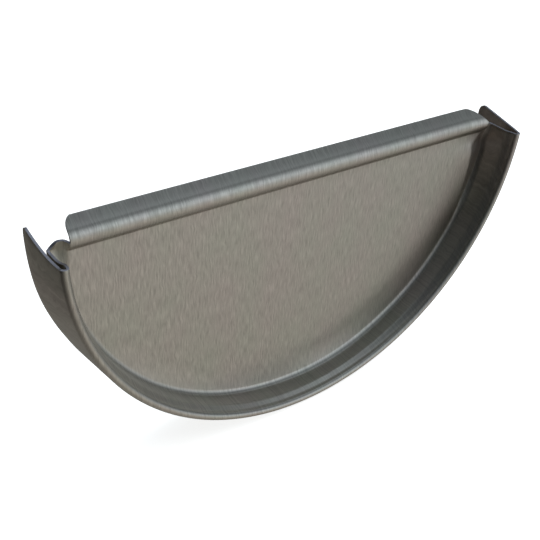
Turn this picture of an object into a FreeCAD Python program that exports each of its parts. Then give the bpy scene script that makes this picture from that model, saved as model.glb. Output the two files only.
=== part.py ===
import FreeCAD, Part
import math
import os
import re
import Sketcher

# End cap for a half-round gutter, pressed and folded from one piece of zinc sheet: a recessed half-disc
# plate, a wall that runs forward from it, a hairpin fold, an outer flange that runs back, and a rounded
# stiffening lip along the top. The gutter's end goes into the slot between the wall and the flange.
# Frame: +X across the gutter, +Y into the gutter, +Z up. The origin is the centre of the gutter's half
# circle, in the plane of the slot's bottom, where the gutter's cut end stops.

# Driving sizes in millimetres, angles in degrees
SIZES = [
    ("sheet_thickness", 0.7, "thickness of the sheet"),
    ("rim_radius", 78.0, "outside radius of the front fold"),
    ("slot_gap", 1.0, "width of the slot at its bottom"),
    ("flange_depth", 18.5, "slot's bottom to the flange's free edge"),
    ("flange_spread", 1.3, "how far the flange opens towards its free edge"),
    ("plate_depth", 9.6, "slot's bottom to the plate's front face"),
    ("wall_step", 0.8, "how far the wall steps inwards behind the fold"),
    ("step_length", 3.0, "length of that step along the wall"),
    ("corner_bend", 1.4, "inside radius of the bend between plate and wall"),
    ("wall_drop", 3.8, "centre of the gutter down to the wall's cut ends"),
    ("flange_drop", 1.0, "centre of the gutter down to the flange's cut ends, at its free edge"),
    ("flange_corner", 2.4, "rounding of the flange's free corners"),
    ("nose_radius", 3.4, "outside radius of the lip's rounded nose"),
    ("nose_reach", 1.25, "how far the nose stands out in front of the plate"),
    ("nose_drop", 3.0, "centre of the gutter down to the centre of the nose"),
    ("base_bend", 0.8, "inside radius of the bend at the lip's base"),
    ("lip_lean", 42.0, "angle of the lip's flat strip from level"),
    ("strip_width", 4.0, "width of the lip's flat strip, up to its free edge"),
    ("tab_width", 3.6, "the wall's inner face to the lip's end"),
    ("tab_drop", 2.6, "centre of the gutter down to the top of the tab beside the lip"),
    ("left_corner", 2.9, "length of the rounding at the lip's left corner"),
    ("left_corner_drop", 2.8, "height of that rounding"),
    ("right_corner", 9.0, "length of the larger rounding at the lip's right corner"),
    ("right_corner_drop", 4.7, "height of that rounding"),
    ("cut_margin", 6.0, "how far a cut runs past the sheet that it trims"),
]
NAMES = {name for name, _, _ in SIZES}

document = FreeCAD.newDocument("gutter_end_cap")
sizes = document.addObject("Spreadsheet::Sheet", "Sizes")
for row, (name, number, meaning) in enumerate(SIZES, start=1):
    sizes.set("A%d" % row, meaning)
    sizes.set("B%d" % row, str(number))
    sizes.setAlias("B%d" % row, name)
document.recompute()


def bound(text):
    """The expression that a text of size names stands for."""
    return re.sub("[a-z_]+", lambda word: "Sizes." + word[0] if word[0] in NAMES else word[0], text)


def size(text):
    """The number that a text of size names works out to."""
    return float(sizes.evalExpression(bound(text)))


# Sizes that follow from the driving ones
FOLD_WIDTH = "(2 * sheet_thickness + slot_gap)"
FOLD_MIDDLE = "(rim_radius - sheet_thickness - slot_gap / 2)"
WALL_AT_FOLD = "(rim_radius - %s)" % FOLD_WIDTH
WALL = "(%s - wall_step)" % WALL_AT_FOLD
PLATE_EDGE = "(%s - corner_bend)" % WALL
PLATE_BACK = "(plate_depth + sheet_thickness)"
STEP_START = "(slot_gap / 2)"
STEP_END = "(slot_gap / 2 + step_length)"
STEP_RADIUS = "((step_length ^ 2 + wall_step ^ 2) / (4 * wall_step))"
LIP_END = "(%s - tab_width)" % WALL
SHEET_END = "(%s + sheet_thickness / 2)" % WALL


def arc_between(start, end, radius, turn):
    """The arc from start to end that turns left or right, at most half a circle."""
    chord = end - start
    middle = (start + end) / 2
    aside = FreeCAD.Vector(-chord.y, chord.x, 0).normalize()
    height = math.sqrt(max(radius ** 2 - (chord.Length / 2) ** 2, 0))
    centre = middle + aside * (height if turn == "left" else -height)
    first, last = (start, end) if turn == "left" else (end, start)
    angles = [math.atan2(point.y - centre.y, point.x - centre.x) for point in (first, last)]
    return Part.ArcOfCircle(Part.Circle(centre, FreeCAD.Vector(0, 0, 1), radius), *angles)


def outline(body, name, plane, corners, arcs):
    """A closed sketch whose corners and arc radii are bound to the sizes."""
    sketch = body.newObject("Sketcher::SketchObject", name)
    support = [feature for feature in body.Origin.OriginFeatures if feature.Role == plane]
    sketch.AttachmentSupport = [(support[0], "")]
    sketch.MapMode = "FlatFace"
    points = [FreeCAD.Vector(size(across), size(up), 0) for across, up in corners]
    ends = []
    for side, start in enumerate(points):
        end = points[(side + 1) % len(points)]
        if side in arcs:
            radius, turn = arcs[side]
            sketch.addGeometry(arc_between(start, end, size(radius), turn))
            ends.append((1, 2) if turn == "left" else (2, 1))
        else:
            sketch.addGeometry(Part.LineSegment(start, end))
            ends.append((1, 2))
    for side in range(len(points)):
        after = (side + 1) % len(points)
        sketch.addConstraint(Sketcher.Constraint("Coincident", side, ends[side][1], after, ends[after][0]))
    for side, (across, up) in enumerate(corners):
        for kind, text, axis in (("DistanceX", across, -2), ("DistanceY", up, -1)):
            if text == "0":
                sketch.addConstraint(Sketcher.Constraint("PointOnObject", side, ends[side][0], axis))
            else:
                number = sketch.addConstraint(Sketcher.Constraint(kind, side, ends[side][0], size(text)))
                sketch.setExpression("Constraints[%d]" % number, bound(text))
        if side in arcs:
            text = arcs[side][0]
            number = sketch.addConstraint(Sketcher.Constraint("Radius", side, size(text)))
            sketch.setExpression("Constraints[%d]" % number, bound(text))
    document.recompute()
    return sketch


def cut_through(body, name, sketch):
    """A pocket to both sides of its sketch, which has to take something away."""
    before = body.Shape.Volume
    pocket = body.newObject("PartDesign::Pocket", name)
    pocket.Profile = sketch
    pocket.Type = "ThroughAll"
    pocket.Midplane = True
    document.recompute()
    if body.Shape.Volume >= before:
        raise RuntimeError(name + " cuts nothing")


def rim_and_plate(body):
    """Plate, bend, stepped wall, hairpin fold and flange, turned about the gutter's axis."""
    step_middle = "(%s + wall_step / 2)" % WALL
    step_half = "(slot_gap / 2 + step_length / 2)"
    inner_share = "((%s - sheet_thickness) / %s)" % (STEP_RADIUS, STEP_RADIUS)
    back_middle = "(%s + %s + %s * (%s - %s - %s))" % (
        WALL, STEP_RADIUS, inner_share, step_middle, WALL, STEP_RADIUS)
    back_half = "(%s + %s * (%s - %s))" % (STEP_END, inner_share, step_half, STEP_END)
    corners = [
        ("0", "plate_depth"),
        (PLATE_EDGE, "plate_depth"),
        (WALL, "plate_depth - corner_bend"),
        (WALL, STEP_END),
        (step_middle, step_half),
        (WALL_AT_FOLD, STEP_START),
        (FOLD_MIDDLE, "-sheet_thickness"),
        ("rim_radius", STEP_START),
        ("rim_radius + flange_spread", "flange_depth"),
        ("rim_radius + flange_spread - sheet_thickness", "flange_depth"),
        ("rim_radius - sheet_thickness", STEP_START),
        (FOLD_MIDDLE, "0"),
        (WALL_AT_FOLD + " + sheet_thickness", STEP_START),
        (back_middle, back_half),
        (WALL + " + sheet_thickness", STEP_END),
        (WALL + " + sheet_thickness", "plate_depth - corner_bend"),
        (PLATE_EDGE, PLATE_BACK),
        ("0", PLATE_BACK),
    ]
    arcs = {
        1: ("corner_bend", "right"),
        3: (STEP_RADIUS, "left"),
        4: (STEP_RADIUS, "right"),
        5: (FOLD_WIDTH + " / 2", "left"),
        6: (FOLD_WIDTH + " / 2", "left"),
        10: ("slot_gap / 2", "right"),
        11: ("slot_gap / 2", "right"),
        12: (STEP_RADIUS + " + sheet_thickness", "left"),
        13: (STEP_RADIUS + " - sheet_thickness", "right"),
        15: ("corner_bend + sheet_thickness", "left"),
    }
    section = outline(body, "rim_section", "XY_Plane", corners, arcs)
    rim = body.newObject("PartDesign::Revolution", "rim_and_plate")
    rim.Profile = section
    rim.ReferenceAxis = (section, ["V_Axis"])
    rim.Angle = 180
    document.recompute()


def flange_ends(body):
    """The flange's cut ends, which rise from the fold to a rounded corner at the free edge."""
    rise = "((wall_drop - flange_drop) / flange_depth)"
    corner_start = "(flange_depth - flange_corner)"
    corner_height = "(%s * %s - wall_drop)" % (rise, corner_start)
    corners = [
        ("-cut_margin", "-wall_drop"),
        ("0", "-wall_drop"),
        (corner_start, corner_height),
        ("flange_depth", corner_height + " - flange_corner"),
        ("flange_depth + cut_margin", corner_height + " - flange_corner"),
        ("flange_depth + cut_margin", "cut_margin"),
        ("-cut_margin", "cut_margin"),
    ]
    sketch = outline(body, "flange_end_line", "YZ_Plane", corners, {2: ("flange_corner", "right")})
    cut_through(body, "flange_ends", sketch)


def lip_base():
    """Level of the bend at the lip's base, and the way from the nose's centre to that bend's centre."""
    apart = "(nose_radius + base_bend)"
    forward = "(%s - nose_reach)" % apart
    down = "sqrt(%s ^ 2 - %s ^ 2)" % (apart, forward)
    return "(nose_drop + %s)" % down, "(%s / %s)" % (forward, apart), "(%s / %s)" % (down, apart)


def plate_top(body):
    """The plate's top edge under the lip, and the wall's cut ends beside it."""
    level, _, _ = lip_base()
    corners = [
        ("-" + FOLD_MIDDLE, "-wall_drop"),
        ("-" + PLATE_EDGE, "-wall_drop"),
        ("-" + PLATE_EDGE, "-" + level),
        (PLATE_EDGE, "-" + level),
        (PLATE_EDGE, "-wall_drop"),
        (FOLD_MIDDLE, "-wall_drop"),
        (FOLD_MIDDLE, "cut_margin"),
        ("-" + FOLD_MIDDLE, "cut_margin"),
    ]
    sketch = outline(body, "plate_top_line", "XZ_Plane", corners, {})
    cut_through(body, "plate_top", sketch)


def lip(body):
    """The bend at the plate's top, the rounded nose and the strip that leans back, drawn out along X."""
    level, forward, down = lip_base()
    centre = "(plate_depth - nose_reach + nose_radius)"
    inside = "(nose_radius - sheet_thickness)"
    strip = ("strip_width * cos(lip_lean)", "strip_width * sin(lip_lean)")
    nose_end = ("(%s - nose_radius * sin(lip_lean))" % centre, "(nose_radius * cos(lip_lean) - nose_drop)")
    inside_end = ("(%s - %s * sin(lip_lean))" % (centre, inside), "(%s * cos(lip_lean) - nose_drop)" % inside)
    corners = [
        ("plate_depth", "-%s - sheet_thickness" % level),
        (PLATE_BACK, "-%s - sheet_thickness" % level),
        (PLATE_BACK, "-" + level),
        ("%s - %s * %s" % (centre, inside, forward), "-nose_drop - %s * %s" % (inside, down)),
        inside_end,
        (inside_end[0] + " + " + strip[0], inside_end[1] + " + " + strip[1]),
        (nose_end[0] + " + " + strip[0], nose_end[1] + " + " + strip[1]),
        nose_end,
        ("%s - nose_radius * %s" % (centre, forward), "-nose_drop - nose_radius * %s" % down),
        ("plate_depth", "-" + level),
    ]
    arcs = {
        2: ("base_bend + sheet_thickness", "left"),
        3: (inside, "right"),
        7: ("nose_radius", "left"),
        8: ("base_bend", "right"),
    }
    section = outline(body, "lip_section", "YZ_Plane", corners, arcs)
    pad = body.newObject("PartDesign::Pad", "lip")
    pad.Profile = section
    pad.Midplane = True
    pad.setExpression("Length", bound("2 * " + SHEET_END))
    document.recompute()


def lip_corner(body, hand, side, length, drop):
    """One end of the lip: its rounded corner, and the low tab between the lip and the wall."""
    top = "(nose_radius * cos(lip_lean) - nose_drop + strip_width * sin(lip_lean))"
    rounding = "((%s ^ 2 + %s ^ 2) / (2 * %s))" % (length, drop, drop)
    tab_corner = "(wall_drop - tab_drop)"
    corners = [
        (side + FOLD_MIDDLE, "-wall_drop"),
        (side + SHEET_END, "-wall_drop"),
        ("%s(%s - %s)" % (side, SHEET_END, tab_corner), "-tab_drop"),
        (side + LIP_END, "-tab_drop"),
        (side + LIP_END, "%s - %s" % (top, drop)),
        ("%s(%s - %s)" % (side, LIP_END, length), top),
        ("%s(%s - %s)" % (side, LIP_END, length), "%s + cut_margin" % top),
        (side + FOLD_MIDDLE, "%s + cut_margin" % top),
    ]
    turn = "right" if side == "-" else "left"
    arcs = {1: (tab_corner, turn), 4: (rounding, turn)}
    sketch = outline(body, hand + "_end_line", "XZ_Plane", corners, arcs)
    cut_through(body, hand + "_end", sketch)


end_cap = document.addObject("PartDesign::Body", "end_cap")
end_cap.Label = "end_cap"
document.recompute()
rim_and_plate(end_cap)
flange_ends(end_cap)
plate_top(end_cap)
lip(end_cap)
lip_corner(end_cap, "left", "-", "left_corner", "left_corner_drop")
lip_corner(end_cap, "right", "", "right_corner", "right_corner_drop")
document.recompute()

for thing in document.Objects:
    if "Invalid" in thing.State or "Error" in thing.State:
        raise RuntimeError("%s failed: %s" % (thing.Label, thing.State))
shape = end_cap.Shape
if shape.isNull() or not shape.isValid() or len(shape.Solids) != 1:
    raise RuntimeError("the end cap is not one valid solid")

os.makedirs("parts", exist_ok=True)
shape.exportStep("parts/%s.step" % end_cap.Label)
box = shape.optimalBoundingBox(False, False)
print("end_cap: %.1f mm3, box %.2f x %.2f x %.2f mm" % (shape.Volume, box.XLength, box.YLength, box.ZLength))
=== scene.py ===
import math
from collections import namedtuple

import bmesh
import bpy
import numpy as np
from mathutils import Matrix, Vector


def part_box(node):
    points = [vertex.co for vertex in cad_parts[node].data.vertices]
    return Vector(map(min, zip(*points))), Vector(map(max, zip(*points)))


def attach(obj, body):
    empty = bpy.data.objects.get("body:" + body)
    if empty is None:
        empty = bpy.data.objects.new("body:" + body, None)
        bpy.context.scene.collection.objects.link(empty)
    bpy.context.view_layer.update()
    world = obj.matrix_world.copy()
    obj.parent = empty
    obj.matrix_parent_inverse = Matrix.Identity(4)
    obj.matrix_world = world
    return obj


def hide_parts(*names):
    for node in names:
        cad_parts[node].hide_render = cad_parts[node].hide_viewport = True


# End cap for a half-round gutter, one pressed and folded zinc sheet. Its front face is one surface, from the
# lip's free edge over the lip, the plate, the bend, the wall and the hairpin fold to the flange's free edge.
# A Geometry Nodes tree sweeps the two sections, straight for the lip and round for the rim, and the press
# marks of the real one are then moved into that surface before it gets the sheet's thickness.

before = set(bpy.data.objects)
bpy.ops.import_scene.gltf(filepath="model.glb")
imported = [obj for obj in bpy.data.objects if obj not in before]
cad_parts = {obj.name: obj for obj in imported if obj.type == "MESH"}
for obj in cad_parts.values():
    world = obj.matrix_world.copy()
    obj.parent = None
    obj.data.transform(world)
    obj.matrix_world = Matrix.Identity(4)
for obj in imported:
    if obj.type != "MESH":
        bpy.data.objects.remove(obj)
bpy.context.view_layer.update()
LOW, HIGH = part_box("end_cap")

MM = 0.001

# Sizes of the sheet, in millimetres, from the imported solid's box
SHEET = -LOW.y / MM
FLANGE_DEPTH = HIGH.y / MM
FLANGE_RADIUS = -LOW.z / MM
LIP_TOP = HIGH.z / MM

# Sizes of the rim, in millimetres
FLANGE_SPREAD = 1.3
SLOT_GAP = 1.0
WALL_STEP = 0.8
STEP_LENGTH = 3.0
CORNER_BEND = 1.4
PLATE_DEPTH = 9.6
WALL_DROP = 3.8
FLANGE_DROP = 1.0
FLANGE_CORNER = 2.4
RIM_RADIUS = FLANGE_RADIUS - FLANGE_SPREAD
FOLD_RADIUS = SHEET + SLOT_GAP / 2
WALL = RIM_RADIUS - 2 * FOLD_RADIUS - WALL_STEP
PLATE_EDGE = WALL - CORNER_BEND
BEND_START = PLATE_DEPTH - CORNER_BEND
STEP_START = SLOT_GAP / 2
STEP_END = STEP_START + STEP_LENGTH

# Sizes of the lip, in millimetres, and the strip's lean and the turn along its hollow, in degrees
NOSE_RADIUS = 3.4
NOSE_REACH = 1.25
NOSE_DROP = 3.0
BASE_BEND = 0.8
LIP_LEAN = 38
STRIP_WIDTH = 3.55
STRIP_HOLLOW = 10
NOSE_DEPTH = PLATE_DEPTH - NOSE_REACH + NOSE_RADIUS
BASE_FORWARD = NOSE_RADIUS + BASE_BEND - NOSE_REACH
BASE_DOWN = math.sqrt((NOSE_RADIUS + BASE_BEND) ** 2 - BASE_FORWARD ** 2)
LIP_BASE = -NOSE_DROP - BASE_DOWN

# The lip's two ends: reach, top of the tab beside each, and length and height of each rounded corner
LipEnd = namedtuple("LipEnd", "side reach tab_top length drop")
LEFT_END = LipEnd(side=-1, reach=WALL - 3.6, tab_top=-2.9, length=2.9, drop=2.8)
RIGHT_END = LipEnd(side=1, reach=WALL - 3.1, tab_top=-3.4, length=9.0, drop=4.7)
LIP_ENDS = [LEFT_END, RIGHT_END]
CORNER_CUTS = 10

# The tabs: the height where they leave the lip, the share in which they fall back, and how late they turn
TAB_START = -3.2
TAB_FALL = 0.6
TAB_TURN = 4

# Press marks, in millimetres: the plate's lower edge is dished forward, most of all at one place
DISH_WIDTH = 8.0
DISH_DEPTH = 1.6
DISH_EVEN = 0.45
DISH_CENTRE = 16.0
DISH_SPREAD = 20.0
DISH_TOP = -36.0
DISH_FADE = 20.0

# A raised crease runs down from the lip's right end, and the plate's corner beyond it is bent back and out
CREASE_WIDTH = 6.0
CREASE_HIGH = -9.5
CREASE_LOW = -37.0
CREASE_TOP = 2.4
CREASE_TURN = 0.9
CREASE_SOFT = 0.1
CREASE_SLOPE = math.radians(19)
CREASE_RIDGE = 0.9
CREASE_RISE = 8.0
CREASE_SPREAD = 6.0
EDGE_OUT = 0.8
BEND_FLATTER = 0.8
BEND_FADE = 8.0

# The lip's right end bows forward a little
BOW_START = 60.0
BOW_REACH = 0.9

# The left end: its corner pressed back, the wall flared and cut lower, the flange bent in and cut hollow
CORNER_LOW = -16.0
CORNER_RISE = 11.0
CORNER_INNER = 71.0
CORNER_BACK = 2.4
WALL_FLARE = 0.9
WALL_DIP = 1.2
FLARE_LENGTH = 5.0
FLANGE_BENT = 0.7
FLANGE_BENT_RISE = 26.0
FLANGE_LIFT = 0.4
FLANGE_SUNK = 0.8
FLANGE_SUNK_RISE = 14.0

# The greatest value of a share times the square of what it leaves of 1
HOLLOW_PEAK = 4 / 27

# Fineness of the mesh: columns across, and rows along each stretch of the section
COLUMNS = 240
STRIP_ROWS = 8
NOSE_ROWS = 12
BASE_ROWS = 4
TAB_ROWS = 10
PLATE_ROWS = 30
WALL_ROWS = 8
STEP_ROWS = 8
FOLD_ROWS = 16
FLANGE_ROWS = 14
FLANGE_CORNER_ROWS = 6

# Distances that count as nothing, in millimetres
CLOSE = 0.01
SAME_POINT = 0.002
SLIVER = 0.001
ON_CUT = 0.00001

# The rounding of the cut edges, in millimetres, and the angle past which an edge is rounded
BURR_WIDTH = 0.15
BURR_SEGMENTS = 2
BURR_ANGLE = math.radians(50)

# The usual range of a noise texture
NOISE_LOW, NOISE_HIGH = 0.3, 0.7

# The Mix node's kinds, each with its two inputs and its result
MixKind = namedtuple("MixKind", "data_type first second result")
VECTORS = MixKind("VECTOR", first=4, second=5, result=1)
COLOURS = MixKind("RGBA", first=6, second=7, result=2)


def linear(code):
    """An sRGB hex colour as linear red, green, blue and alpha."""
    parts = [int(code[place:place + 2], 16) / 255 for place in (1, 3, 5)]
    return [part / 12.92 if part <= 0.04045 else ((part + 0.055) / 1.055) ** 2.4 for part in parts] + [1.0]


def add(tree, kind, inputs=None, **settings):
    """Adds a node with its settings, its input values and the links that feed its inputs."""
    node = tree.nodes.new(kind)
    for name, value in settings.items():
        setattr(node, name, value)
    for socket, value in (inputs or {}).items():
        if isinstance(value, bpy.types.NodeSocket):
            tree.links.new(value, node.inputs[socket])
        else:
            node.inputs[socket].default_value = value
    return node


def calc(tree, operation, *values, **settings):
    """The result of a Math node."""
    return add(tree, "ShaderNodeMath", dict(enumerate(values)), operation=operation, **settings).outputs[0]


def calc_vector(tree, operation, *values):
    """The result of a Vector Math node that gives a vector."""
    return add(tree, "ShaderNodeVectorMath", dict(enumerate(values)), operation=operation).outputs[0]


def mix(tree, kind, share, first, second):
    """The result of a Mix node between two vectors or two colours."""
    inputs = {"Factor": share, kind.first: first, kind.second: second}
    return add(tree, "ShaderNodeMix", inputs, data_type=kind.data_type).outputs[kind.result]


def graded(tree, noise, low, high):
    """A noise texture's usual range as the range of another measure."""
    inputs = {"Value": noise, "From Min": NOISE_LOW, "From Max": NOISE_HIGH, "To Min": low, "To Max": high}
    return add(tree, "ShaderNodeMapRange", inputs).outputs[0]


def new_material(name):
    """An empty node material, its tree, and the places on the piece that its textures read."""
    material = bpy.data.materials.new(name)
    material.use_nodes = True
    tree = material.node_tree
    tree.nodes.clear()
    return material, tree, add(tree, "ShaderNodeTexCoord").outputs["Object"]


def finish_material(tree, inputs):
    """Adds the material's shader, with its inputs, and its output."""
    shader = add(tree, "ShaderNodeBsdfPrincipled", inputs)
    add(tree, "ShaderNodeOutputMaterial", {"Surface": shader.outputs[0]})


def rolled_zinc():
    """Mill-finish rolled zinc, a satin metal.

    Its fine upright rolling lines waver a little and spread what it mirrors sideways. Patches of it are
    slightly warmer or greener.
    """
    line_width, line_length = 0.4 * MM, 4 * MM
    patch_width, patch_length = 14 * MM, 24 * MM
    waver_width, waver_reach = 3 * MM, 1.0 * MM
    line_depth = 0.03 * MM
    material, tree, place = new_material("rolled_zinc")
    patch_scale = (1 / patch_width, 0, 1 / patch_length)
    patches = add(tree, "ShaderNodeMapping", {"Vector": place, "Scale": patch_scale}).outputs[0]
    patch = add(tree, "ShaderNodeTexNoise", {"Vector": patches, "Scale": 1.0, "Detail": 3.0}).outputs["Fac"]
    waves = add(tree, "ShaderNodeTexNoise", {"Vector": place, "Scale": 1 / waver_width, "Detail": 1.0})
    waver = calc_vector(tree, "MULTIPLY", waves.outputs["Color"], (waver_reach, 0.0, 0.0))
    wavering = calc_vector(tree, "ADD", place, waver)
    line_scale = (1 / line_width, 0, 1 / line_length)
    lines = add(tree, "ShaderNodeMapping", {"Vector": wavering, "Scale": line_scale}).outputs[0]
    grain = add(tree, "ShaderNodeTexNoise", {"Vector": lines, "Scale": 1.0, "Detail": 3.0,
                                             "Roughness": 0.6}).outputs["Fac"]
    tone = mix(tree, COLOURS, patch, linear("#C0C3B4"), linear("#CBBCB8"))
    colour = calc_vector(tree, "MULTIPLY", tone, graded(tree, grain, 0.81, 1.14))
    relief = add(tree, "ShaderNodeBump", {"Height": grain, "Strength": 0.2, "Distance": line_depth})
    facing = add(tree, "ShaderNodeNewGeometry").outputs["Normal"]
    upward = add(tree, "ShaderNodeSeparateXYZ", {0: facing}).outputs["Z"]
    rolled_way = add(tree, "ShaderNodeCombineXYZ", {"X": 0.0, "Y": upward, "Z": 1.0}).outputs[0]
    cross_way = calc_vector(tree, "CROSS_PRODUCT", facing, rolled_way)
    finish_material(tree, {"Base Color": colour, "Metallic": 1.0, "Roughness": graded(tree, grain, 0.39, 0.31),
                           "Normal": relief.outputs[0], "Anisotropic": 0.85, "Tangent": cross_way})
    return material


def sheared_zinc_painted_shade():
    """Zinc where the shear cut it: duller and unevenly torn, with its colour darkened as painted shade on the
    cut edges.
    """
    tear_width = 0.5 * MM
    material, tree, place = new_material("sheared_zinc_painted_shade")
    tear = add(tree, "ShaderNodeTexNoise", {"Vector": place, "Scale": 1 / tear_width, "Detail": 2.0})
    # Painted shade: both tones are darker than the rolled zinc's and stand in for the shade on the cut edges;
    # the tear noise varies them at random.
    tone = mix(tree, COLOURS, tear.outputs["Fac"], linear("#868288"), linear("#A29EA4"))
    finish_material(tree, {"Base Color": tone, "Metallic": 1.0, "Roughness": 0.45})
    return material


def lit_table():
    """White acrylic top of a light table, lit from below as well as from above, with a faint unevenness."""
    mottle_width = 80 * MM
    material, tree, place = new_material("lit_table")
    mottle = add(tree, "ShaderNodeTexNoise", {"Vector": place, "Scale": 1 / mottle_width, "Detail": 2.0})
    tone = mix(tree, COLOURS, mottle.outputs["Fac"], linear("#F4F4F3"), linear("#F8F8F7"))
    finish_material(tree, {"Base Color": tone, "Roughness": 0.9, "Emission Color": tone,
                           "Emission Strength": 0.85})
    return material


def on_circle(centre, radius, angle):
    """The point of a circle at an angle in degrees."""
    turn = math.radians(angle)
    return centre[0] + radius * math.cos(turn), centre[1] + radius * math.sin(turn)


def arc(centre, radius, start, end, steps):
    """Points on a round stretch, from one angle to another, in degrees."""
    return [on_circle(centre, radius, angle) for angle in np.linspace(start, end, steps + 1)]


def stretch(start, end, steps):
    """Points on a straight stretch, without the first."""
    return [(start[0] + share * (end[0] - start[0]), start[1] + share * (end[1] - start[1]))
            for share in np.linspace(0, 1, steps + 1)[1:]]


def ease(values):
    """A soft step from 0 to 1."""
    share = np.clip(values, 0, 1)
    return share * share * (3 - 2 * share)


def lip_section():
    """Depth and height along the lip's front face, from its free edge over the nose down to the plate."""
    nose = (NOSE_DEPTH, -NOSE_DROP)
    base = (PLATE_DEPTH - BASE_BEND, LIP_BASE)
    meeting = math.degrees(math.atan2(BASE_DOWN, BASE_FORWARD))
    tab_start = 180 - math.degrees(math.asin((TAB_START + NOSE_DROP) / NOSE_RADIUS))
    flattest, steepest = LIP_LEAN - STRIP_HOLLOW / 2, LIP_LEAN + STRIP_HOLLOW / 2
    hollow_radius = STRIP_WIDTH / math.radians(STRIP_HOLLOW)
    hollow = on_circle(nose, NOSE_RADIUS + hollow_radius, 90 + flattest)
    points = arc(hollow, hollow_radius, steepest - 90, flattest - 90, STRIP_ROWS)
    points += arc(nose, NOSE_RADIUS, 90 + flattest, tab_start, NOSE_ROWS)[1:]
    points += arc(nose, NOSE_RADIUS, tab_start, 180 + meeting, TAB_ROWS - BASE_ROWS)[1:]
    return points + arc(base, BASE_BEND, meeting, 0, BASE_ROWS)[1:]


def cut_level(depth):
    """Height of the flange's cut end at a depth, with its rounded corner."""
    rise = (WALL_DROP - FLANGE_DROP) / FLANGE_DEPTH
    level = -WALL_DROP + rise * max(depth, 0)
    past = depth - (FLANGE_DEPTH - FLANGE_CORNER)
    if past > 0:
        level -= FLANGE_CORNER - math.sqrt(max(FLANGE_CORNER ** 2 - past ** 2, 0))
    return level


def rim_section():
    """Radius, depth and end angle along the rim's front face, from the plate to the flange's free edge."""
    fold = (RIM_RADIUS - FOLD_RADIUS, STEP_START)
    bend = arc((PLATE_EDGE, BEND_START), CORNER_BEND, 90, 0, TAB_ROWS)
    wall = stretch((WALL, BEND_START), (WALL, STEP_END), WALL_ROWS)
    step = [(WALL + WALL_STEP * (1 - math.cos(math.pi * share)) / 2, STEP_END - STEP_LENGTH * share)
            for share in np.linspace(0, 1, STEP_ROWS + 1)[1:]]
    turn = arc(fold, FOLD_RADIUS, 180, 360, FOLD_ROWS)[1:]
    flange = stretch((RIM_RADIUS, STEP_START), (FLANGE_RADIUS, FLANGE_DEPTH - FLANGE_CORNER), FLANGE_ROWS)
    flange += stretch(flange[-1], (FLANGE_RADIUS, FLANGE_DEPTH), FLANGE_CORNER_ROWS)
    levels = list(np.linspace(LIP_BASE, -WALL_DROP, len(bend)))
    levels += [-WALL_DROP] * (len(wall) + len(step) + len(turn))
    levels += [cut_level(depth) for _, depth in flange]
    points = bend + wall + step + turn + flange
    return [(radius, depth, math.asin(-level / radius)) for (radius, depth), level in zip(points, levels)]


def sweep_tree():
    """The tree that sweeps the lip's section along X and the rim's section round the half circle."""
    tree = bpy.data.node_groups.new("swept_sheet", "GeometryNodeTree")
    tree.interface.new_socket("Section", in_out="INPUT", socket_type="NodeSocketGeometry")
    for name in ("Columns", "Lip rows", "Plate rows", "Rim rows"):
        tree.interface.new_socket(name, in_out="INPUT", socket_type="NodeSocketInt")
    tree.interface.new_socket("Finish", in_out="INPUT", socket_type="NodeSocketMaterial")
    tree.interface.new_socket("Sheet", in_out="OUTPUT", socket_type="NodeSocketGeometry")
    given = add(tree, "NodeGroupInput").outputs
    before_rim = calc(tree, "ADD", given["Lip rows"], given["Plate rows"])
    rows = calc(tree, "ADD", before_rim, given["Rim rows"])
    grid = add(tree, "GeometryNodeMeshGrid", {"Vertices X": given["Columns"], "Vertices Y": rows})
    index = add(tree, "GeometryNodeInputIndex").outputs[0]
    row = calc(tree, "MODULO", index, rows)
    column = calc(tree, "FLOOR", calc(tree, "DIVIDE", index, rows))
    across = calc(tree, "DIVIDE", column, calc(tree, "SUBTRACT", given["Columns"], 1.0))
    lip_last = calc(tree, "SUBTRACT", given["Lip rows"], 1.0)
    lip_row = calc(tree, "MINIMUM", row, lip_last)
    below_lip = calc(tree, "SUBTRACT", row, lip_last)
    plate_steps = calc(tree, "ADD", given["Plate rows"], 1.0)
    down_plate = calc(tree, "DIVIDE", below_lip, plate_steps, use_clamp=True)
    rim_step = calc(tree, "MAXIMUM", calc(tree, "SUBTRACT", row, before_rim), 0.0)
    rim_row = calc(tree, "ADD", rim_step, given["Lip rows"])
    point = add(tree, "GeometryNodeInputPosition").outputs[0]
    section = {"Geometry": given["Section"], "Value": point}
    lip_point, rim_point = [
        add(tree, "GeometryNodeSampleIndex", section | {"Index": number}, data_type="FLOAT_VECTOR").outputs[0]
        for number in (lip_row, rim_row)]
    lip_at = add(tree, "ShaderNodeSeparateXYZ", {0: lip_point}).outputs
    rim_at = add(tree, "ShaderNodeSeparateXYZ", {0: rim_point}).outputs
    reach = calc(tree, "MULTIPLY_ADD", rim_at["Z"], -2.0, math.pi)
    angle = calc(tree, "MULTIPLY_ADD", across, reach, rim_at["Z"])
    back = calc(tree, "MULTIPLY", rim_at["X"], -1.0)
    x = calc(tree, "MULTIPLY", back, calc(tree, "COSINE", angle))
    z = calc(tree, "MULTIPLY", back, calc(tree, "SINE", angle))
    on_rim = add(tree, "ShaderNodeCombineXYZ", {"X": x, "Y": rim_at["Y"], "Z": z}).outputs[0]
    on_lip = add(tree, "ShaderNodeCombineXYZ", {"X": x, "Y": lip_at["Y"], "Z": lip_at["Z"]}).outputs[0]
    place = mix(tree, VECTORS, down_plate, on_lip, on_rim)
    sheet = add(tree, "GeometryNodeSetPosition", {"Geometry": grid.outputs["Mesh"], "Position": place})
    real = add(tree, "GeometryNodeRealizeInstances", {"Geometry": sheet.outputs[0]}).outputs[0]
    finished = add(tree, "GeometryNodeSetMaterial", {"Geometry": real, "Material": given["Finish"]})
    add(tree, "NodeGroupOutput", {"Sheet": finished.outputs[0]})
    return tree


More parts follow.
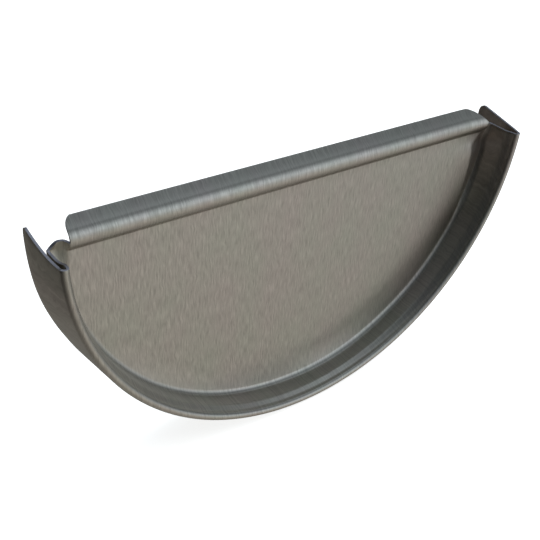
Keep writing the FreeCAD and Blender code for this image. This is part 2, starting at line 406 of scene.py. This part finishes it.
def swept_sheet(finish):
    """The regular sheet as a plain mesh in millimetres, with the rows of its lip and its rim."""
    lip = lip_section()
    rim = rim_section()
    line = bpy.data.meshes.new("section_line")
    line.from_pydata([(0, depth, height) for depth, height in lip] + rim, [], [])
    holder = bpy.data.objects.new("section_line", line)
    bpy.context.scene.collection.objects.link(holder)
    tree = sweep_tree()
    sweep = holder.modifiers.new("sweep", "NODES")
    sweep.node_group = tree
    wanted = {"Columns": COLUMNS, "Lip rows": len(lip), "Plate rows": PLATE_ROWS, "Rim rows": len(rim),
              "Finish": finish}
    for socket in tree.interface.items_tree:
        if socket.name in wanted:
            sweep[socket.identifier] = wanted[socket.name]
    mesh = bpy.data.meshes.new_from_object(holder.evaluated_get(bpy.context.evaluated_depsgraph_get()))
    holder.modifiers.remove(sweep)
    bpy.data.objects.remove(holder)
    return mesh, len(lip), len(rim)


def bend_rows(places, lip_rows):
    """The places on the bend between the plate and the wall."""
    start = lip_rows + PLATE_ROWS
    return places[:, start:start + TAB_ROWS + 1]


def flatten_right_bend(bend):
    """Makes the bend flatter where the upper right corner is pulled back."""
    share = ease((bend[..., 2:] - CREASE_LOW) / BEND_FADE) * (bend[..., :1] > 0)
    down = np.linspace(0, 1, bend.shape[1])[:, None]
    flat = bend[:, :1] + down * (bend[:, -1:] - bend[:, :1])
    bend += BEND_FLATTER * share * (flat - bend)


def raise_tabs(places, lip_rows):
    """Lets the sheet beside the lip's ends fall back to the plate's depth, and draws it out to the wall."""
    bend = bend_rows(places, lip_rows)
    tab = places[:, lip_rows - 1:lip_rows - TAB_ROWS - 2:-1]
    rise = np.linspace(0, 1, TAB_ROWS + 1)
    for end in LIP_ENDS:
        last = 0 if end.side < 0 else -1
        across = end.side * places[:, lip_rows - 1, 0]
        share = np.clip((across - end.reach) / (across[last] - end.reach), 0, 1)
        fall = ease(share / TAB_FALL)[:, None]
        tab[..., 1] += fall * (PLATE_DEPTH - tab[..., 1])
        tab[..., 2] += fall * (LIP_BASE + rise * (end.tab_top - LIP_BASE) - tab[..., 2])
        tab += (share ** TAB_TURN)[:, None, None] * (bend[last] - tab[last])


def on_wall(places):
    """Share of a press mark that a place takes: all from the bend back, none at the step or on the flange."""
    inside = np.hypot(places[..., 0], places[..., 2]) < WALL + SHEET / 2
    return inside * np.clip((places[..., 1] - STEP_END) / (BEND_START - STEP_END), 0, 1)


def dish_plate(places):
    """Moves the plate's lower edge forward over a narrow band, as the press left it."""
    across, height = places[..., 0], places[..., 2]
    share = np.clip((np.hypot(across, height) - (WALL - DISH_WIDTH)) / DISH_WIDTH, 0, 1)
    along = DISH_EVEN + (1 - DISH_EVEN) * np.exp(-((across - DISH_CENTRE) / DISH_SPREAD) ** 2)
    amount = DISH_DEPTH * along * ease((DISH_TOP - height) / DISH_FADE)
    places[..., 1] -= on_wall(places) * amount * share ** 2


def bow_right_end(lip):
    """Bows the lip's right end forward, from nothing at its base to the whole amount at the nose."""
    along = np.clip((lip[..., 0] - BOW_START) / (RIGHT_END.reach - BOW_START), 0, 1)
    up = np.clip((lip[..., 2] - LIP_BASE) / BASE_DOWN, 0, 1)
    lip[..., 1] -= BOW_REACH * along ** 2 * up


def pull_back_right(places):
    """Raises a crease below the lip's right end, and moves the corner beyond it back and outwards."""
    across, height = places[..., 0], places[..., 2]
    edge = np.sqrt(np.maximum(PLATE_EDGE ** 2 - height ** 2, 0))
    wall = np.sqrt(np.maximum(WALL ** 2 - height ** 2, 0))
    width = np.clip(CREASE_WIDTH * (height - CREASE_LOW) / (CREASE_HIGH - CREASE_LOW), CLOSE, None)
    width = np.minimum(width, CREASE_TOP + CREASE_TURN * np.clip(LIP_BASE - height, 0, None))
    amount = width / CREASE_WIDTH * (width > CLOSE)
    past = np.minimum(across, edge) - edge + width
    beyond = np.clip(past, 0, None)
    back = math.tan(CREASE_SLOPE) * beyond ** 2 / (beyond + CREASE_SOFT)
    raised = CREASE_RIDGE * ease((LIP_BASE - height) / CREASE_RISE)
    ridge = raised * np.exp(np.minimum(past, 0) / CREASE_SPREAD)
    outwards = np.clip(np.minimum(beyond / width, (wall - across) / (wall - edge)), 0, 1)
    places[..., 1] += on_wall(places) * (back * (amount > 0) - amount * ridge)
    places[..., 0] += EDGE_OUT * amount * outwards * (places[..., 1] > BEND_START - CLOSE)


def squeeze_left_end(places):
    """Presses the upper left corner back, flares the wall's end and bends the flange's end in."""
    across, depth, height = places[..., 0], places[..., 1], places[..., 2]
    radius = np.hypot(across, height)
    high = ease((height - CORNER_LOW) / CORNER_RISE)
    back = high * ease((-across - CORNER_INNER) / (WALL - CORNER_INNER)) * on_wall(places)
    flare = high * ease((-across - PLATE_EDGE) / CORNER_BEND) * ease((depth - STEP_START) / FLARE_LENGTH)
    flare *= radius < RIM_RADIUS - FOLD_RADIUS
    share = np.clip(depth / FLANGE_DEPTH, 0, 1) * (radius > RIM_RADIUS - CLOSE) * (across < 0)
    bent = ease((height + FLANGE_BENT_RISE) / FLANGE_BENT_RISE) * share ** 3
    hollow = share * (1 - share) ** 2 / HOLLOW_PEAK
    sunk = ease((height + FLANGE_SUNK_RISE) / FLANGE_SUNK_RISE) * hollow
    places += np.stack([FLANGE_BENT * bent - WALL_FLARE * flare, CORNER_BACK * back,
                        FLANGE_LIFT * bent - WALL_DIP * flare - FLANGE_SUNK * sunk], -1)


def cut_free(shape, rows, lip_rows, across):
    """Takes away the lip beyond its ends, above the tabs."""
    tab_row = lip_rows - TAB_ROWS - 1
    gone = []
    for face in shape.faces:
        columns = across[[vert.index // rows for vert in face.verts]]
        beyond = any((end.side * columns > end.reach - CLOSE).all() for end in LIP_ENDS)
        if beyond and max(vert.index % rows for vert in face.verts) <= tab_row:
            gone.append(face)
    bmesh.ops.delete(shape, geom=gone, context="FACES")


def round_corners(shape):
    """Rounds the lip's upper corners with a fan of cuts."""
    for end in LIP_ENDS:
        radius = (end.length ** 2 + end.drop ** 2) / (2 * end.drop)
        sweep = math.asin(end.length / radius)
        centre = Vector((end.side * (end.reach - end.length), 0, LIP_TOP - radius))
        for cut in range(CORNER_CUTS):
            angle = sweep * (cut + 0.5) / CORNER_CUTS
            normal = Vector((end.side * math.sin(angle), 0, math.cos(angle)))
            faces = [face for face in shape.faces if all(
                0 < end.side * vert.co.x < end.reach + CLOSE and vert.co.z > LIP_BASE for vert in face.verts)]
            edges = {edge for face in faces for edge in face.edges}
            verts = {vert for face in faces for vert in face.verts}
            bmesh.ops.bisect_plane(shape, geom=faces + list(edges) + list(verts), dist=ON_CUT,
                                   plane_co=centre + radius * normal, plane_no=normal, clear_outer=True)


def clean_up(shape):
    """Scales the shape to metres, merges what lies together and turns its faces to the front."""
    bmesh.ops.scale(shape, vec=(MM, MM, MM), verts=shape.verts)
    bmesh.ops.remove_doubles(shape, verts=shape.verts, dist=SAME_POINT * MM)
    bmesh.ops.dissolve_degenerate(shape, edges=shape.edges, dist=SLIVER * MM)
    loose = [vert for vert in shape.verts if not vert.link_faces]
    bmesh.ops.delete(shape, geom=loose, context="VERTS")
    bmesh.ops.reverse_faces(shape, faces=shape.faces)
    for face in shape.faces:
        face.smooth = True


def thicken(piece):
    """Gives the front face the sheet's thickness, and its cut edges a small rounding."""
    wall = piece.modifiers.new("sheet_thickness", "SOLIDIFY")
    wall.thickness = SHEET * MM
    wall.offset = -1
    wall.use_even_offset = True
    wall.material_offset_rim = 1
    burr = piece.modifiers.new("sheared_edges", "BEVEL")
    burr.width = BURR_WIDTH * MM
    burr.segments = BURR_SEGMENTS
    burr.limit_method = "ANGLE"
    burr.angle_limit = BURR_ANGLE


def end_cap_sheet(finish, edge_finish):
    """The whole cap: the swept sheet with its press marks, its cut ends and its thickness."""
    mesh, lip_rows, rim_rows = swept_sheet(finish)
    rows = lip_rows + PLATE_ROWS + rim_rows
    flat = np.zeros(len(mesh.vertices) * 3)
    mesh.vertices.foreach_get("co", flat)
    places = flat.reshape(COLUMNS, rows, 3)
    for end in LIP_ENDS:
        nearest = np.abs(places[:, 0, 0] - end.side * end.reach).argmin()
        places[nearest, :lip_rows - 1, 0] = end.side * end.reach
    across = places[:, 0, 0].copy()
    bow_right_end(places[:, :lip_rows])
    flatten_right_bend(bend_rows(places, lip_rows))
    raise_tabs(places, lip_rows)
    dish_plate(places)
    pull_back_right(places)
    squeeze_left_end(places)
    mesh.vertices.foreach_set("co", flat)
    shape = bmesh.new()
    shape.from_mesh(mesh)
    cut_free(shape, rows, lip_rows, across)
    round_corners(shape)
    clean_up(shape)
    shape.to_mesh(mesh)
    shape.free()
    mesh.materials.append(edge_finish)
    piece = bpy.data.objects.new("end_cap_sheet", mesh)
    bpy.context.scene.collection.objects.link(piece)
    thicken(piece)
    return piece


# The photograph's view, fitted to it: the camera's turn, lift and roll, and its place in millimetres
VIEW_TURN = math.radians(40.24)
VIEW_LIFT = math.radians(32.93)
VIEW_ROLL = math.radians(-5.24)
VIEW_DISTANCE = 273.8
VIEW_TARGET = Vector((0, 9.3, -35))
NEAREST_SEEN = 10
IMAGE_WIDTH = 540
FOCAL_PIXELS = 929.2
OPTICAL_AXIS_PIXEL = (298.98, 270.4)
SENSOR_WIDTH = 36


def photo_camera():
    """The camera that took the photograph, from the fitted view."""
    forward = Vector((math.sin(VIEW_TURN) * math.cos(VIEW_LIFT), math.cos(VIEW_TURN) * math.cos(VIEW_LIFT),
                      -math.sin(VIEW_LIFT)))
    level = Vector((math.cos(VIEW_TURN), -math.sin(VIEW_TURN), 0))
    steep = forward.cross(level)
    right = math.cos(VIEW_ROLL) * level + math.sin(VIEW_ROLL) * steep
    down = math.cos(VIEW_ROLL) * steep - math.sin(VIEW_ROLL) * level
    data = bpy.data.cameras.new("photo_camera")
    data.sensor_width = SENSOR_WIDTH
    data.lens = SENSOR_WIDTH * FOCAL_PIXELS / IMAGE_WIDTH
    data.shift_x = 0.5 - OPTICAL_AXIS_PIXEL[0] / IMAGE_WIDTH
    data.shift_y = OPTICAL_AXIS_PIXEL[1] / IMAGE_WIDTH - 0.5
    data.clip_start = NEAREST_SEEN * MM
    camera = bpy.data.objects.new("photo_camera", data)
    turn = Matrix((right, -down, -forward)).transposed()
    camera.matrix_world = Matrix.Translation((VIEW_TARGET - VIEW_DISTANCE * forward) * MM) @ turn.to_4x4()
    bpy.context.scene.collection.objects.link(camera)
    bpy.context.scene.camera = camera


# Plain soft studio lights that the metal mirrors, with turn from the front to the right and lift in degrees
Glow = namedtuple("Glow", "turn lift sharpness colour strength")
COOL_WHITE, WARM_WHITE = "#E2F2FF", "#FFFCF4"
TABLE_TOP = Glow(turn=0, lift=-90, sharpness=7, colour=WARM_WHITE, strength=0.3)
LOW_BOARD = Glow(turn=25, lift=-30, sharpness=5, colour=WARM_WHITE, strength=0.55)
SIDE_WINDOW = Glow(turn=45, lift=0, sharpness=8, colour=COOL_WHITE, strength=0.4)
FRONT_WINDOW = Glow(turn=25, lift=15, sharpness=12, colour=COOL_WHITE, strength=0.8)
HIGH_BOARD = Glow(turn=10, lift=40, sharpness=12, colour=COOL_WHITE, strength=0.6)
HIGH_LAMP = Glow(turn=135, lift=60, sharpness=7, colour=COOL_WHITE, strength=1.2)
ROOM_BEHIND = Glow(turn=180, lift=-15, sharpness=5, colour=WARM_WHITE, strength=0.3)
GLOWS = [TABLE_TOP, LOW_BOARD, SIDE_WINDOW, FRONT_WINDOW, HIGH_BOARD, HIGH_LAMP, ROOM_BEHIND]
DIM_ROOM = "#080808"

# The floor and the panel over it, in metres and watts
FLOOR_REACH = 3.0
FLOOR_CORNERS = [(-1, -1), (1, -1), (1, 1), (-1, 1)]
PANEL_POWER = 15.0
PANEL_SIZE = 2.0
PANEL_PLACE = (0.3, -0.3, 1.5)


def surroundings():
    """The world: a dim room with soft glows."""
    world = bpy.data.worlds.new("surroundings")
    bpy.context.scene.world = world
    world.use_nodes = True
    tree = world.node_tree
    tree.nodes.clear()
    way = add(tree, "ShaderNodeTexCoord").outputs["Generated"]
    light = add(tree, "ShaderNodeCombineXYZ", dict(zip("XYZ", linear(DIM_ROOM)))).outputs[0]
    for glow in GLOWS:
        across, up = math.radians(glow.turn), math.radians(glow.lift)
        axis = (math.sin(across) * math.cos(up), -math.cos(across) * math.cos(up), math.sin(up))
        facing = add(tree, "ShaderNodeVectorMath", {0: way, 1: axis}, operation="DOT_PRODUCT")
        falloff = calc(tree, "MULTIPLY_ADD", facing.outputs["Value"], glow.sharpness, -glow.sharpness)
        colour = [glow.strength * part for part in linear(glow.colour)[:3]]
        shine = add(tree, "ShaderNodeVectorMath", {0: colour, "Scale": calc(tree, "EXPONENT", falloff)},
                    operation="SCALE")
        light = calc_vector(tree, "ADD", light, shine.outputs[0])
    back = add(tree, "ShaderNodeBackground", {"Color": light, "Strength": 1.0})
    add(tree, "ShaderNodeOutputWorld", {"Surface": back.outputs[0]})


def studio():
    """The floor, the surroundings that the metal mirrors, and the soft light from above."""
    scene = bpy.context.scene
    scene.view_settings.view_transform = "Standard"
    board = bpy.data.meshes.new("floor")
    board.from_pydata([(FLOOR_REACH * x, FLOOR_REACH * y, LOW.z) for x, y in FLOOR_CORNERS], [], [(0, 1, 2, 3)])
    board.materials.append(lit_table())
    floor = bpy.data.objects.new("floor", board)
    scene.collection.objects.link(floor)
    floor.visible_glossy = False
    floor.visible_shadow = False
    surroundings()
    lamp = bpy.data.lights.new("overhead_panel", "AREA")
    lamp.shape = "DISK"
    lamp.size = PANEL_SIZE
    lamp.energy = PANEL_POWER
    overhead = bpy.data.objects.new("overhead_panel", lamp)
    overhead.location = PANEL_PLACE
    overhead.visible_glossy = False
    scene.collection.objects.link(overhead)


cap = end_cap_sheet(rolled_zinc(), sheared_zinc_painted_shade())
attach(cap, "root")
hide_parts("end_cap")
studio()
photo_camera()
